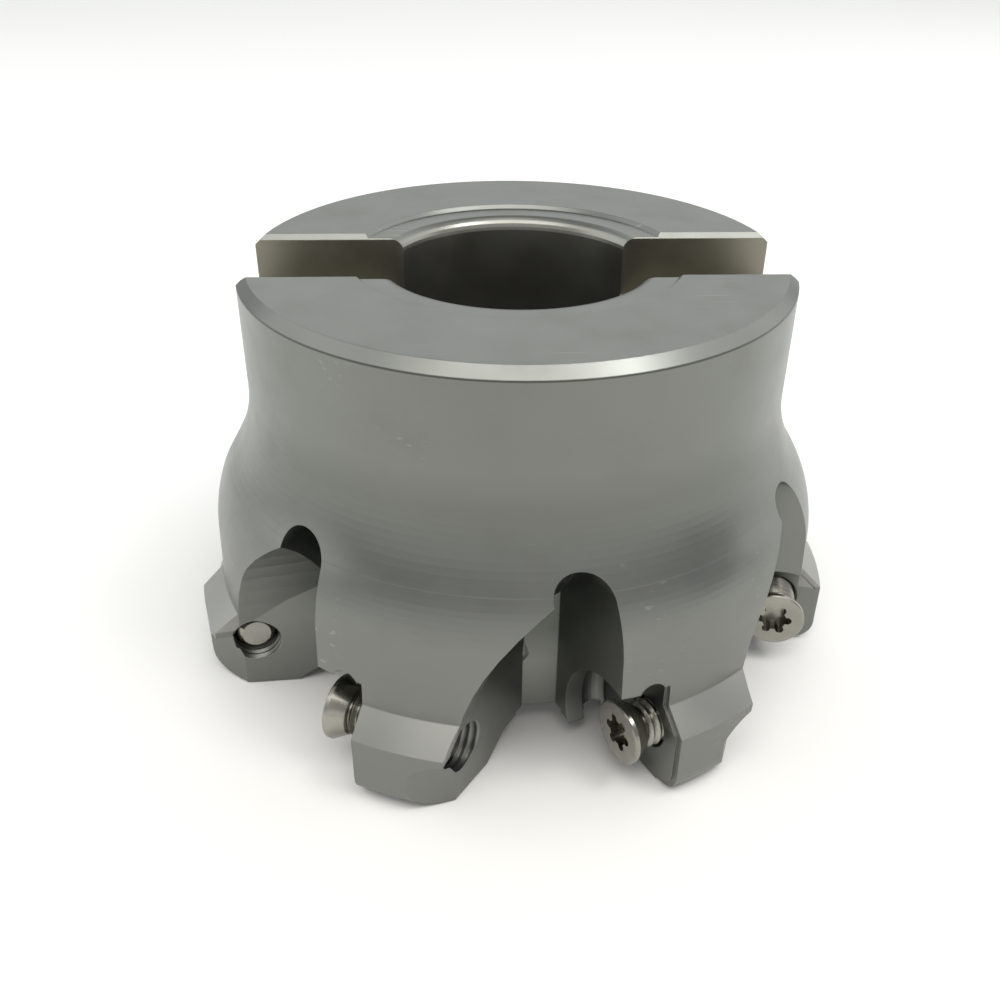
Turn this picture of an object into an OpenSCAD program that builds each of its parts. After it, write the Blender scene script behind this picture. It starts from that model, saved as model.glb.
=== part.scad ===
// Indexable face and copy mill for round inserts, with its insert screws standing in their holes.
// Origin: centre of the back face. +Z: out of the back face along the arbor axis. X: along the drive slot.
// Millimetres.

/* [Arbor interface] */
// Diameter of the arbor bore
bore_d = 27; // [26.5:0.1:28]
// Depth of the arbor bore below the back face
bore_depth = 22; // [20:0.5:24]
// Width of the drive slot
slot_w = 12.4; // [11:0.1:13]
// Depth of the drive slot
slot_depth = 7; // [5:0.5:8]
// Diameter of the counterbore for the retaining screw
counterbore_d = 38; // [34:0.5:39]

/* [Body] */
// Diameter of the flange
flange_d = 57.2; // [56:0.2:58]
// Height of the straight part of the flange
flange_h = 12; // [10:0.5:13]
// Diameter at the belly above the teeth
belly_d = 67.3; // [66:0.1:68]
// Diameter over the outer lands of the teeth
land_d = 72.8; // [72:0.1:73.5]
// Height of the body from the back face to the bottom of the teeth
body_h = 44.2; // [43.5:0.1:45]

/* [Teeth] */
// Number of teeth
teeth = 7; // [7:1:7]
// Angle of the first insert seat, from the -Y axis towards +X
first_tooth = 26; // [20:1:32]

/* [Inserts and screws] */
// Distance of the insert centre from the arbor axis, along the seat
insert_reach = 31.2; // [31:0.05:31.4]
// Depth of the insert centre below the back face
insert_depth = 38.3; // [38:0.1:38.6]
// How far the insert seat lies ahead of the arbor axis
seat_lead = 1.7; // [1.5:0.1:1.9]
// Nominal diameter of the insert screw thread
screw_d = 5; // [4.8:0.1:5]
// Length of the insert screw
screw_l = 13; // [12:0.5:13]
// How far each screw's head face stands out of its seat, tooth by tooth
screw_out = [3.6, 4.8, 4.2, 3.9, 4.5, 4.3, 4.3]; // [3.4:0.1:5]

/* [Hidden] */
$fn = 96;
steel = "#8a8d86";
screw_steel = "#9a968c";
eps = 0.01;
far = 60;
pitch = 360 / teeth;

bore_r = bore_d / 2;
counterbore_r = counterbore_d / 2;
flange_r = flange_d / 2;
belly_r = belly_d / 2;
land_r = land_d / 2;

// Turned outline of the body
rim_chamfer = 1;
edge_break = 0.55;
recess_r = 17;
recess_depth = 0.4;
lead_in_r = 1.4;
cove_turn = 34;
cove_r = 16;
belly_z = -28.5;
belly_arc_r = 13.4;
skirt_r = 33.9;
skirt_z = -34.2;
land_z = skirt_z - (land_r - skirt_r);
corner_r = 2.4;
tooth_foot_r = 27.2;
core_z = -41.5;
core_r = 22.65;
core_bevel_r = 23.8;
foot_z = core_z - 0.4;
foot_bevel_t = 11.5;
foot_bevel_w = 20;
bore_break = 0.8;
arc_steps = 12;

// Chip gullet between two teeth
rake_t = -6.6;
gullet_r = 2.75;
gullet_top_z = -19.1;
run_out_r = 10;
run_out_z = -28;
deep_t = -10;
back_t = 12.9;
back_turn = 9.1;
hollow_t = 7.6;
hollow_r = 26;
hollow_z = -40.4;
back_floor = 20.4;
back_foot = 18;
back_run_out_r = 12;
back_run_out_z = -32.2;

// Scoop milled off the heel of each tooth
heel_r = 4.2;
heel_angle = 43;
heel_at = [33.6, 7, -41.7];

// Insert pocket
pocket_r = 7.5;
pocket_z = -insert_depth - 0.8;
pocket_h = 12;
relief_r = 8.45;
relief_tube_r = 1.45;
relief_h = 1.6;
undercut = 0.5;
rim_w = 0.6;
rim_step = 0.25;
rim_top_z = -32;

// Insert screw
thread_pitch = 0.8;
thread_crest_r = screw_d / 2 - 0.08;
thread_root_r = 2.04;
hole_r = thread_crest_r + 0.05;
hole_root_r = hole_r + 0.3;
head_r = 3.3;
head_rim = 0.5;
neck_r = 1.95;
neck_l = 2.3;
neck_step = 0.15;
socket_r = 1.32;
socket_lobe_r = 0.46;
socket_lobe_at = 1.46;
socket_depth = 1.5;
tail_chamfer = 0.5;

// Points on an arc around [cx, cy], from angle a0 to a1
function arc(cx, cy, r, a0, a1, steps = arc_steps) =
    [for (i = [0:steps]) [cx + r * cos(a0 + (a1 - a0) * i / steps),
                          cy + r * sin(a0 + (a1 - a0) * i / steps)]];

// Half section of the turned body: radius against height
module body_section() {
    polygon(concat(
        [[counterbore_r + edge_break, core_z],
         [counterbore_r, core_z + edge_break],
         [counterbore_r, -bore_depth],
         [bore_r + bore_break, -bore_depth],
         [bore_r, -bore_depth + bore_break]],
        arc(bore_r + lead_in_r, -recess_depth - lead_in_r, lead_in_r, 180, 90, 6),
        [[recess_r, -recess_depth],
         [recess_r + recess_depth, 0],
         [flange_r - rim_chamfer, 0],
         [flange_r, -rim_chamfer]],
        arc(flange_r + cove_r, -flange_h, cove_r, 180, 180 + cove_turn),
        arc(belly_r - belly_arc_r, belly_z, belly_arc_r, cove_turn, 0),
        [[skirt_r, skirt_z],
         [land_r, land_z]],
        arc(land_r - corner_r, corner_r - body_h, corner_r, 0, -90, 6),
        [[core_bevel_r, -body_h],
         [core_bevel_r, core_z]]
    ));
}

// Local frame of a tooth: X outwards along the seat, Y away from the cutting direction
module at_tooth(i) {
    rotate([0, 0, first_tooth - 90 + i * pitch])
        children();
}

// Local frame of a screw: Z out of the seat, starting at the seat
module at_seat(i) {
    at_tooth(i)
        translate([insert_reach, -seat_lead, -insert_depth])
            rotate([90, 0, 0])
                children();
}

module drive_slot() {
    translate([-far / 2, -slot_w / 2, -slot_depth])
        cube([far, slot_w, slot_depth + 1]);
    // Broken top edges
    for (side = [0, 180])
        rotate([0, 0, side])
            translate([-far / 2, 0, 0])
                rotate([90, 0, 90])
                    linear_extrude(far)
                        polygon([[slot_w / 2 - eps, -edge_break],
                                 [slot_w / 2 + edge_break + 1, 1],
                                 [slot_w / 2 - eps, 1]]);
}

// Everything reached by a tool that stops at floor_r and runs out upwards along an arc
module run_out(floor_r, foot_r, arc_r, arc_z) {
    lean = atan((floor_r - foot_r) / (body_h + arc_z));
    rotate([90, 0, 0])
        linear_extrude(2 * far, center = true)
            polygon(concat(
                [[foot_r, -far],
                 [foot_r, -body_h]],
                arc(floor_r + arc_r, arc_z, arc_r, 180 + lean, 90),
                [[far, arc_z + arc_r],
                 [far, -far]]
            ));
}

// Radial slot with a round top in front of the rake wall, down to the core beside that wall
module gullet_slot() {
    intersection() {
        rotate([90, 0, 90])
            linear_extrude(far)
                union() {
                    translate([rake_t - gullet_r, gullet_top_z - gullet_r])
                        circle(gullet_r);
                    translate([rake_t - 2 * gullet_r, -far])
                        square([2 * gullet_r, far + gullet_top_z - gullet_r]);
                }
        union() {
            run_out(core_r - eps, core_r - 2 * eps, run_out_r, run_out_z);
            intersection() {
                run_out(back_floor, back_foot, back_run_out_r, back_run_out_z);
                translate([0, deep_t, -far])
                    cube(far);
            }
        }
    }
}

// Space behind a tooth: flat at the bottom, hollow above, with its own run-out
module behind_tooth() {
    intersection() {
        rotate([0, 0, -back_turn])
            translate([-far, back_t, -far])
                cube([2 * far, far, far]);
        rotate([90, 0, 90])
            linear_extrude(far)
                polygon(concat(
                    [[hollow_t, -far]],
                    arc(hollow_t + hollow_r, hollow_z, hollow_r, 180, 115),
                    [[far, 0],
                     [far, -far]]
                ));
        run_out(back_floor, back_foot, back_run_out_r, back_run_out_z);
    }
}

// Everything milled away between the tooth before and this tooth's rake wall
module gullet() {
    difference() {
        union() {
            gullet_slot();
            intersection() {
                rotate([0, 0, -pitch])
                    behind_tooth();
                translate([0, -far, -far])
                    cube([far, far + rake_t - gullet_r, far]);
            }
        }
        translate([0, 0, -far])
            cylinder(h = far, r = core_r);
    }
}

// Flat bevel under a tooth, down from a small step outside the core
module foot_bevel() {
    slope = (tooth_foot_r - core_bevel_r) / (body_h + foot_z);
    translate([0, foot_bevel_t, 0])
        rotate([90, 0, 0])
            linear_extrude(foot_bevel_w)
                polygon([[counterbore_r, foot_z],
                         [counterbore_r, -far],
                         [core_bevel_r + slope * (far + foot_z), -far],
                         [core_bevel_r, foot_z]]);
}

// Scoop off the lower outer corner of the heel
module heel_relief() {
    translate(heel_at)
        rotate([0, 0, heel_angle]) {
            rotate([0, 90, 0])
                cylinder(h = 12, r = heel_r);
            translate([0, -heel_r, -12])
                cube([12, 2 * heel_r, 12]);
        }
}

// Round pocket in front of the seat, open outwards and below, with a round relief groove
module insert_pocket() {
    translate([insert_reach, -seat_lead, pocket_z])
        rotate([90, 0, 0]) {
            cylinder(h = pocket_h, r = pocket_r);
            translate([0, -far, 0])
                cube([far, far, pocket_h]);
            rotate_extrude()
                polygon(concat(
                    [[0, relief_h - relief_tube_r]],
                    arc(relief_r - relief_tube_r, relief_h, relief_tube_r, -90, 90),
                    [[0, relief_h + relief_tube_r]]
                ));
            // Undercut in the corner between the seat and the wall
            rotate_extrude()
                translate([pocket_r - undercut / 2, -undercut / 2])
                    square(undercut);
        }
}

// Shallow step round the outer edge of the seat
module seat_rim() {
    inset = rim_w * tan(22.5);
    translate([0, rim_step - seat_lead, 0])
        rotate([90, 0, 0])
            linear_extrude(pocket_h)
                polygon(concat(
                    [[skirt_r - rim_w, rim_top_z],
                     [skirt_r - rim_w, skirt_z - inset],
                     [land_r - rim_w, land_z - inset]],
                    arc(land_r - corner_r, corner_r - body_h, corner_r - rim_w, 0, -90, 4),
                    [[land_r - corner_r - rim_w, -body_h - eps],
                     [far, -far],
                     [far, rim_top_z]]
                ));
}

// Tapped hole through the tooth: ring grooves stand for the thread
module tapped_hole() {
    depth = 16;
    grooves = floor(depth / thread_pitch);
    translate([insert_reach, -seat_lead, -insert_depth])
        rotate([-90, 0, 0])
            rotate_extrude()
                polygon(concat(
                    [[0, -1],
                     [hole_root_r, -1],
                     [hole_root_r, 0]],
                    [for (i = [0:grooves - 1], k = [0:2])
                        [k == 1 ? hole_root_r : hole_r,
                         (i + [0.5, 0.9, 1.3][k]) * thread_pitch]],
                    [[hole_r, depth],
                     [0, depth]]
                ));
}

module cutter_body() {
    color(steel)
        difference() {
            rotate_extrude()
                body_section();
            drive_slot();
            for (i = [0:teeth - 1])
                at_tooth(i) {
                    gullet();
                    insert_pocket();
                    seat_rim();
                    tapped_hole();
                    heel_relief();
                    foot_bevel();
                }
        }
}

// Countersunk screw with a six-lobe socket: head face up at z = 0, tail down
module screw_shape() {
    rings = floor((screw_l - neck_l - 2 * tail_chamfer) / thread_pitch);
    difference() {
        rotate_extrude()
            polygon(concat(
                [[0, -screw_l],
                 [thread_root_r - tail_chamfer, -screw_l],
                 [thread_root_r, tail_chamfer - screw_l]],
                [for (i = [rings - 1:-1:0], k = [0:2])
                    [k == 1 ? thread_crest_r : thread_root_r,
                     -neck_l - (i + [0.95, 0.5, 0.05][k]) * thread_pitch]],
                [[neck_r, -neck_l],
                 [neck_r, neck_step - neck_l],
                 [thread_crest_r, -head_rim - (head_r - thread_crest_r) / tan(30)],
                 [head_r, -head_rim],
                 [head_r, -0.12],
                 [head_r - 0.12, 0],
                 [0, 0]]
            ));
        translate([0, 0, -socket_depth])
            linear_extrude(socket_depth + 1)
                union() {
                    circle(socket_r);
                    for (a = [0:60:300])
                        rotate(a)
                            translate([socket_lobe_at, 0])
                                circle(socket_lobe_r);
                }
    }
}

module insert_screw(i) {
    color(screw_steel)
        at_seat(i)
            translate([0, 0, screw_out[i]])
                screw_shape();
}

cutter_body();
insert_screw(0);  // insert_screw_1
insert_screw(1);  // insert_screw_2
insert_screw(2);  // insert_screw_3
insert_screw(3);  // insert_screw_4
insert_screw(4);  // insert_screw_5
insert_screw(5);  // insert_screw_6
insert_screw(6);  // insert_screw_7
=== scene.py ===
"""Looks of the face mill: satin steel body, bright screws, a pale floor and soft studio light.

Lengths are in metres, in the frame of the CAD model: the back face lies at z = 0 and the arbor
axis runs along Z.
"""

import math

import bpy
from mathutils import Matrix, Vector


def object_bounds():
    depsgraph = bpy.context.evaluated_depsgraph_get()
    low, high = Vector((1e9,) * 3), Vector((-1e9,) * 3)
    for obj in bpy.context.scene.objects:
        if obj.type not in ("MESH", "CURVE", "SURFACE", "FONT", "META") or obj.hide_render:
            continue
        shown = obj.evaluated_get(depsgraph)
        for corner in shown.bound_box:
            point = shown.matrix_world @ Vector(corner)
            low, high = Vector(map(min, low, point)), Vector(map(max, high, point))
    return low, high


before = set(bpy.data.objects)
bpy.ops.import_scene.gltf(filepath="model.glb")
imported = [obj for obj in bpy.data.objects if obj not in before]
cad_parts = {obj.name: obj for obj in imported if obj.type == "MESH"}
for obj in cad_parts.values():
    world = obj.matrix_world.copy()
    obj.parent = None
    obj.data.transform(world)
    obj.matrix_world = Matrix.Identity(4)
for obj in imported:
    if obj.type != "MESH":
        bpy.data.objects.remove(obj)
cad_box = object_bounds()


# ---------------------------------------------------------------- node helpers
def new_material(name):
    """A node material that holds only its output and a shader, with its tree and that shader."""
    mat = bpy.data.materials.new(name)
    mat.use_nodes = True
    tree = mat.node_tree
    tree.nodes.clear()
    out = tree.nodes.new("ShaderNodeOutputMaterial")
    shader = tree.nodes.new("ShaderNodeBsdfPrincipled")
    tree.links.new(shader.outputs["BSDF"], out.inputs["Surface"])
    return mat, tree, shader


def put(tree, kind, values=(), links=(), **settings):
    """A new node with its settings, socket values and incoming links."""
    node = tree.nodes.new(kind)
    for key, value in settings.items():
        setattr(node, key, value)
    for key, value in dict(values).items():
        node.inputs[key].default_value = value
    for key, source in dict(links).items():
        tree.links.new(source, node.inputs[key])
    return node


def object_place(tree):
    """The point being shaded, in the object's own coordinates."""
    return put(tree, "ShaderNodeTexCoord").outputs["Object"]


def noise(tree, vector, scale, detail=3.0, rough=0.5):
    """Smooth noise between 0 and 1, most of it near 0.5."""
    node = put(
        tree,
        "ShaderNodeTexNoise",
        {"Scale": scale, "Detail": detail, "Roughness": rough},
        {"Vector": vector},
    )
    return node.outputs["Fac"]


def mapped(tree, vector, scale, rotation=(0.0, 0.0, 0.0)):
    """The same coordinates turned, then squeezed or stretched along each axis."""
    node = put(
        tree,
        "ShaderNodeMapping",
        {"Scale": scale, "Rotation": rotation},
        {"Vector": vector},
    )
    return node.outputs["Vector"]


def maths(tree, operation, a, b=None, clamp=False):
    """The result of one operation on sockets or plain numbers."""
    node = put(tree, "ShaderNodeMath", operation=operation, use_clamp=clamp)
    for i, value in enumerate((a, b)):
        if value is None:
            continue
        if isinstance(value, (int, float)):
            node.inputs[i].default_value = value
        else:
            tree.links.new(value, node.inputs[i])
    return node.outputs[0]


def ramp(tree, fac, stops):
    """A colour ramp through (position, colour) stops."""
    node = put(tree, "ShaderNodeValToRGB", links={"Fac": fac})
    elements = node.color_ramp.elements
    while len(elements) < len(stops):
        elements.new(0.5)
    for element, (place, colour) in zip(elements, stops):
        element.position = place
        element.color = (*colour, 1.0)
    return node.outputs["Color"]


def rescale(tree, value, low, high, to_low, to_high):
    """value taken from low..high to to_low..to_high, and held at the ends."""
    node = put(
        tree,
        "ShaderNodeMapRange",
        {"From Min": low, "From Max": high, "To Min": to_low, "To Max": to_high},
        {"Value": value},
    )
    return node.outputs["Result"]


def between(tree, value, low, high, soft):
    """1 where value lies between low and high, fading out over soft."""
    up = rescale(tree, value, low - soft, low, 0.0, 1.0)
    down = rescale(tree, value, high, high + soft, 1.0, 0.0)
    return maths(tree, "MULTIPLY", up, down)


def mix_colour(tree, fac, a, b):
    """Colour a where fac is 0, colour b where it is 1."""
    node = put(tree, "ShaderNodeMix", data_type="RGBA", blend_type="MIX")
    for key, value in (("Factor", fac), ("A", a), ("B", b)):
        socket = next(s for s in node.inputs if s.name == key and s.enabled)
        if isinstance(value, tuple):
            socket.default_value = (*value, 1.0)
        else:
            tree.links.new(value, socket)
    return next(s for s in node.outputs if s.enabled)


def fine_relief(tree, shader, height, strength, depth, edge_radius):
    """Fine bumps on the shader's normal, on edges that look rounded."""
    round_edges = put(tree, "ShaderNodeBevel", {"Radius": edge_radius}, samples=4)
    bumped = put(
        tree,
        "ShaderNodeBump",
        {"Strength": strength, "Distance": depth},
        {"Height": height, "Normal": round_edges.outputs["Normal"]},
    )
    tree.links.new(bumped.outputs["Normal"], shader.inputs["Normal"])


# ---------------------------------------------------------------- materials
def distance_from_axis(tree, x, y):
    """Distance from the arbor axis."""
    squares = [maths(tree, "MULTIPLY", side, side) for side in (x, y)]
    return maths(tree, "SQRT", maths(tree, "ADD", *squares))


def scratches(tree, place):
    """Short straight scratches in two directions, only in a few worn patches."""
    worn_patch = rescale(tree, noise(tree, place, 75.0, 2.0), 0.56, 0.66, 0.0, 1.0)
    marks = []
    for turn in ((0.3, 0.2, 0.5), (-0.5, 0.4, -0.9)):
        along = mapped(tree, place, (0.05, 1.0, 1.0), turn)
        thread = noise(tree, along, 1900.0, 1.0, 0.5)
        marks.append(rescale(tree, thread, 0.70, 0.74, 0.0, 1.0))
    return maths(tree, "MULTIPLY", maths(tree, "MAXIMUM", *marks), worn_patch, clamp=True)


def rim_shade_mask(tree, radius, z):
    """Painted shade: a dark line under the rim chamfer of the flange."""
    line = between(tree, z, -0.00112, -0.00102, 0.00010)
    outer = rescale(tree, radius, 0.0284, 0.02855, 0.0, 1.0)
    return maths(tree, "MULTIPLY", line, outer, clamp=True)


def bevel_mask(tree, radius, z):
    """The bevel between the skirt and the outer lands, painted lighter."""
    band = between(tree, z, -0.03665, -0.0343, 0.00012)
    outer = rescale(tree, radius, 0.0338, 0.0339, 0.0, 0.85)
    return maths(tree, "MULTIPLY", band, outer)


def slot_mask(tree, radius, y, z):
    """The walls and floor of the drive slot, outside the bore."""
    width = between(tree, maths(tree, "ABSOLUTE", y), -0.001, 0.00621, 0.00002)
    above_floor = rescale(tree, z, -0.00708, -0.007, 0.0, 1.0)
    outside_bore = rescale(tree, radius, 0.0136, 0.014, 0.0, 0.9)
    wall = maths(tree, "MULTIPLY", width, above_floor)
    return maths(tree, "MULTIPLY", wall, outside_bore)


def gullet_shade_mask(tree, radius, z):
    """Painted shade deep in the gullets, fading out towards the teeth and the bottom."""
    inner = rescale(tree, radius, 0.0245, 0.0315, 1.0, 0.0)
    band = between(tree, z, -0.0315, -0.014, 0.004)
    outside_core = rescale(tree, radius, 0.021, 0.0215, 0.0, 1.0)
    deep = maths(tree, "MULTIPLY", inner, band)
    return maths(tree, "MULTIPLY", deep, outside_core, clamp=True)


def body_material():
    """Satin turned and milled steel: turning lines, soft stains, sparse scratches, and painted
    shade under the rim chamfer and deep in the gullets.
    """
    steel_low = (0.196, 0.203, 0.188)
    steel_high = (0.214, 0.220, 0.205)
    stain_tint = (0.182, 0.182, 0.163)
    band_tint = (0.25, 0.255, 0.24)
    scratch_tint = (0.36, 0.36, 0.34)
    rim_shade_tint = (0.05, 0.05, 0.045)
    lighter_band_tint = (0.335, 0.335, 0.315)
    straw_tint = (0.275, 0.262, 0.212)
    bore_lightened_tint = (0.36, 0.35, 0.315)
    gullet_shade_tint = (0.07, 0.078, 0.066)
    turning_lines_per_metre = 2600.0

    mat, tree, shader = new_material("body_satin_steel")
    place = object_place(tree)
    x, y, z = put(tree, "ShaderNodeSeparateXYZ", links={"Vector": place}).outputs
    radius = distance_from_axis(tree, x, y)
    turned = put(
        tree,
        "ShaderNodeCombineXYZ",
        links={
            "X": maths(tree, "MULTIPLY", radius, turning_lines_per_metre),
            "Y": maths(tree, "MULTIPLY", z, turning_lines_per_metre),
        },
    ).outputs["Vector"]
    lines = noise(tree, turned, 1.0, 2.0, 0.6)
    bands = noise(tree, mapped(tree, turned, (0.06, 0.06, 0.06)), 1.0, 2.0, 0.5)
    cloud = noise(tree, place, 38.0, 3.0, 0.5)
    stain = noise(tree, place, 120.0, 5.0, 0.65)
    grain = noise(tree, place, 2600.0, 2.0, 0.6)
    scratch = scratches(tree, place)

    # the bevel band and the bore are painted lighter, the bore to make up for the little light
    # inside it; the slot is slightly straw-coloured; painted shade lies in a line under the rim
    # chamfer and deep in the gullets
    tint = ramp(tree, cloud, [(0.30, steel_low), (0.70, steel_high)])
    layers = (
        (rescale(tree, stain, 0.56, 0.72, 0.0, 0.35), stain_tint),
        (rescale(tree, bands, 0.35, 0.65, 0.0, 0.10), band_tint),
        (maths(tree, "MULTIPLY", scratch, 0.5), scratch_tint),
        (maths(tree, "MULTIPLY", rim_shade_mask(tree, radius, z), 0.75), rim_shade_tint),
        (bevel_mask(tree, radius, z), lighter_band_tint),
        (slot_mask(tree, radius, y, z), straw_tint),
        # painted light: the bore is coloured lighter to make up for the little light that reaches
        # inside it
        (rescale(tree, radius, 0.0137, 0.0141, 0.65, 0.0), bore_lightened_tint),
        (maths(tree, "MULTIPLY", gullet_shade_mask(tree, radius, z), 0.6), gullet_shade_tint),
    )
    for mask, colour in layers:
        tint = mix_colour(tree, mask, tint, colour)
    tree.links.new(tint, shader.inputs["Base Color"])
    shader.inputs["Metallic"].default_value = 1.0

    worn = rescale(tree, cloud, 0.3, 0.7, 0.33, 0.39)
    worn = maths(tree, "ADD", worn, rescale(tree, stain, 0.4, 0.7, -0.02, 0.05))
    worn = maths(tree, "ADD", worn, rescale(tree, bands, 0.3, 0.7, -0.02, 0.02))
    tree.links.new(worn, shader.inputs["Roughness"])

    height = maths(tree, "MULTIPLY", lines, 0.5)
    height = maths(tree, "ADD", height, maths(tree, "MULTIPLY", grain, 0.3))
    height = maths(tree, "SUBTRACT", height, maths(tree, "MULTIPLY", scratch, 0.6))
    fine_relief(tree, shader, height, 0.10, 0.00003, 0.00012)
    return mat


def screw_material():
    """Bright screw steel, slightly straw-coloured, with fine grain and smeared handling marks."""
    mat, tree, shader = new_material("screw_bright_steel")
    place = object_place(tree)
    cloud = noise(tree, place, 260.0, 3.0, 0.55)
    grain = noise(tree, place, 4200.0, 2.0, 0.6)
    tint = ramp(tree, cloud, [(0.32, (0.29, 0.28, 0.245)), (0.68, (0.38, 0.37, 0.33))])
    tree.links.new(tint, shader.inputs["Base Color"])
    shader.inputs["Metallic"].default_value = 1.0
    tree.links.new(rescale(tree, cloud, 0.3, 0.7, 0.20, 0.32), shader.inputs["Roughness"])
    fine_relief(tree, shader, grain, 0.12, 0.00002, 0.00006)
    return mat


body_steel = body_material()
screw_steel = screw_material()
for name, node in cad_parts.items():
    node.data.materials.clear()
    node.data.materials.append(body_steel if name == "cutter_body" else screw_steel)


# ---------------------------------------------------------------- stage
floor_z = cad_box[0].z - 0.0002
floor_side = 4.0


def floor_material():
    """Matt white with faint clouds, and a painted shadow: a slightly warmer, duller patch in
    front of the mill.
    """
    white = (0.94, 0.94, 0.935)
    shadow_tint = (0.80, 0.785, 0.755)
    cloud_shade = 0.99
    shadow_at = (0.01, -0.16, floor_z)

    mat, tree, shader = new_material("floor_white")
    place = object_place(tree)
    low = tuple(channel * cloud_shade for channel in white)
    pale = ramp(tree, noise(tree, place, 3.0), [(0.35, low), (0.65, white)])
    from_shadow = put(
        tree,
        "ShaderNodeVectorMath",
        {1: shadow_at},
        {0: place},
        operation="DISTANCE",
    ).outputs["Value"]
    # painted shadow on the floor in front of the mill
    shadow_patch = rescale(tree, from_shadow, 0.05, 0.22, 1.0, 0.0)
    tree.links.new(mix_colour(tree, shadow_patch, pale, shadow_tint), shader.inputs["Base Color"])
    shader.inputs["Roughness"].default_value = 0.9
    shader.inputs["Specular IOR Level"].default_value = 0.0
    return mat


floor_mesh = bpy.data.meshes.new("floor")
corners = ((-1, -1), (1, -1), (1, 1), (-1, 1))
floor_mesh.from_pydata(
    [(floor_side * x, floor_side * y, floor_z) for x, y in corners],
    [],
    [(0, 1, 2, 3)],
)
floor = bpy.data.objects.new("floor", floor_mesh)
bpy.context.scene.collection.objects.link(floor)
floor.data.materials.append(floor_material())

scene = bpy.context.scene
scene.view_settings.view_transform = "Standard"
scene.view_settings.look = "None"
world = bpy.data.worlds.new("studio")
scene.world = world
world.use_nodes = True
background = world.node_tree.nodes["Background"]
background.inputs["Color"].default_value = (1, 1, 1, 1)
background.inputs["Strength"].default_value = 0.45


def panel(name, direction, distance, width, height, glow, colour=(1, 1, 1)):
    """A soft rectangular light, seen from the mill in a direction, with the given brightness."""
    aim = Vector((0, 0, -0.01))
    lamp = bpy.data.lights.new(name, "AREA")
    lamp.shape = "RECTANGLE"
    lamp.size, lamp.size_y = width, height
    lamp.energy = glow * width * height * math.pi
    lamp.color = colour
    holder = bpy.data.objects.new(name, lamp)
    toward = Vector(direction).normalized()
    holder.location = aim + toward * distance
    holder.rotation_mode = "QUATERNION"
    holder.rotation_quaternion = (-toward).to_track_quat("-Z", "Y")
    bpy.context.scene.collection.objects.link(holder)


warm_white = (1.0, 0.985, 0.95)
cool_white = (0.97, 1.0, 0.99)
panel("light_top", (0.05, -0.38, 0.9), 0.6, 0.8, 0.36, 3.0, warm_white)
panel("light_key", (0.52, -0.25, 0.82), 0.6, 0.17, 0.12, 8.5)
panel("light_back", (0.0, 0.85, 0.52), 0.9, 1.6, 0.5, 0.85, (0.97, 1.0, 0.98))
panel("light_left", (-1.0, 0.1, 0.55), 0.6, 0.6, 0.6, 1.0, cool_white)
panel("light_right", (1.0, 0.3, 0.5), 0.6, 0.5, 0.6, 1.0, cool_white)
panel("light_front", (0.0, -1.0, 0.14), 0.9, 3.2, 0.24, 0.6, (1.0, 1.0, 0.98))

# ---------------------------------------------------------------- camera
camera = bpy.data.cameras.new("camera")
camera.sensor_width = 36.0
camera.lens = 38.17
camera.clip_start = 0.005
camera.clip_end = 20.0
camera.dof.use_dof = False
holder = bpy.data.objects.new("camera", camera)
bpy.context.scene.collection.objects.link(holder)
bpy.context.scene.camera = holder
eye = Vector((-0.00629, -0.10646, 0.03605))
forward = Vector((0.03823, 0.84904, -0.52694)).normalized()
roll = -0.01
right = forward.cross(Vector((0, 0, 1))).normalized()
right = Matrix.Rotation(roll, 3, forward) @ right
up = right.cross(forward)
turn = Matrix((right, up, -forward)).transposed()
holder.matrix_world = Matrix.Translation(eye) @ turn.to_4x4()
